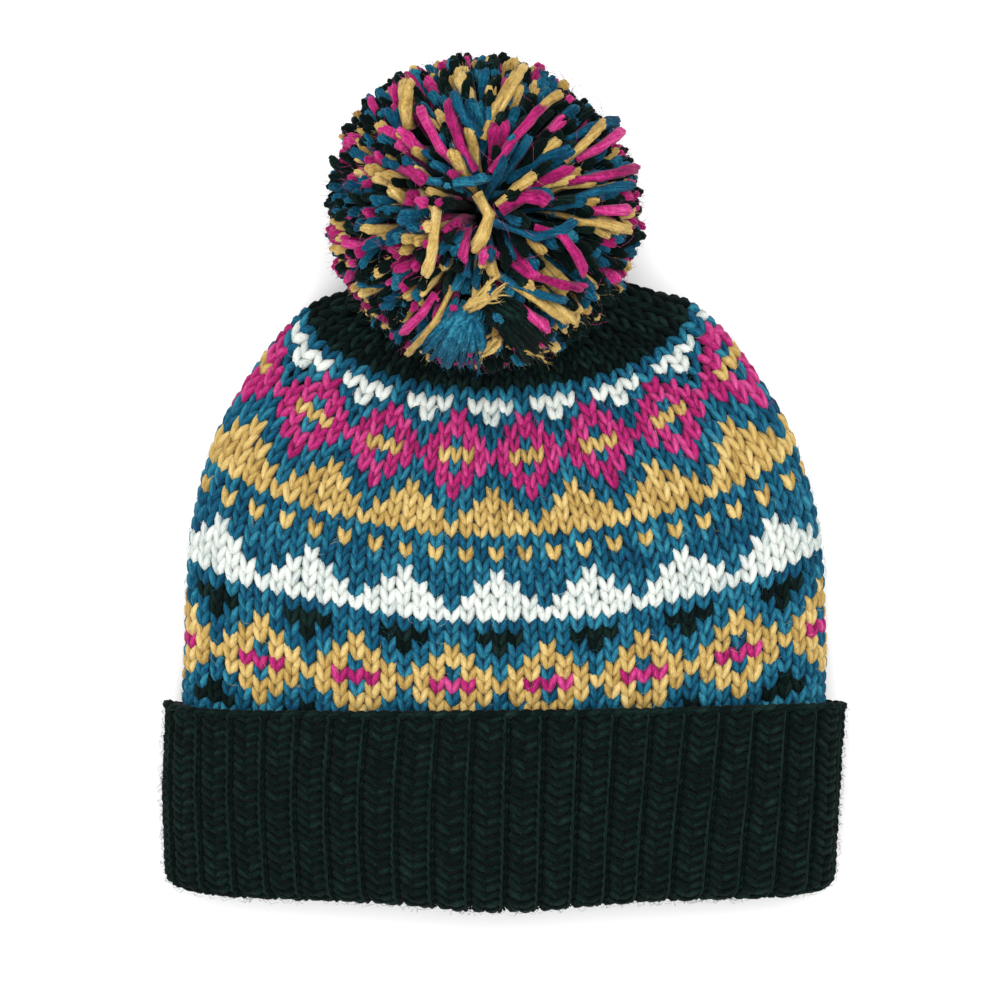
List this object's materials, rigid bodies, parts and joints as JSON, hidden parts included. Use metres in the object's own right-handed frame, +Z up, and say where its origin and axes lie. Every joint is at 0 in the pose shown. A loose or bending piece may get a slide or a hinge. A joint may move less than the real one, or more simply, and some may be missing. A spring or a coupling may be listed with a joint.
{
  "type": "bobble hat",
  "caption": "Knitted bobble hat lying flat: two-colour patterned body, deep turned-up ribbed cuff and a full yarn pompom across its crown.",
  "frame": {"origin": "centre of the bounding box on the surface that the hat lies on", "axes": "+Z up from the surface, +Y from the rim towards the crown and the pompom, +X to the right of someone who looks down on the hat with the pompom at the top"},
  "size_m": [0.2409, 0.2959, 0.1055],
  "materials": {
    "yarn_blue": "soft two-ply wool-look knitting yarn, matt with a faint sheen",
    "yarn_green": "dark green knitting yarn, matt",
    "yarn_pink": "magenta knitting yarn, matt with a faint sheen",
    "yarn_mustard": "mustard knitting yarn, matt with a faint sheen",
    "yarn_white": "warm white knitting yarn, matt"
  },
  "bodies": {
    "root": {"knit_body": "yarn_blue", "cuff": "yarn_green", "pompom": "yarn_pink"}
  },
  "joints": []
}
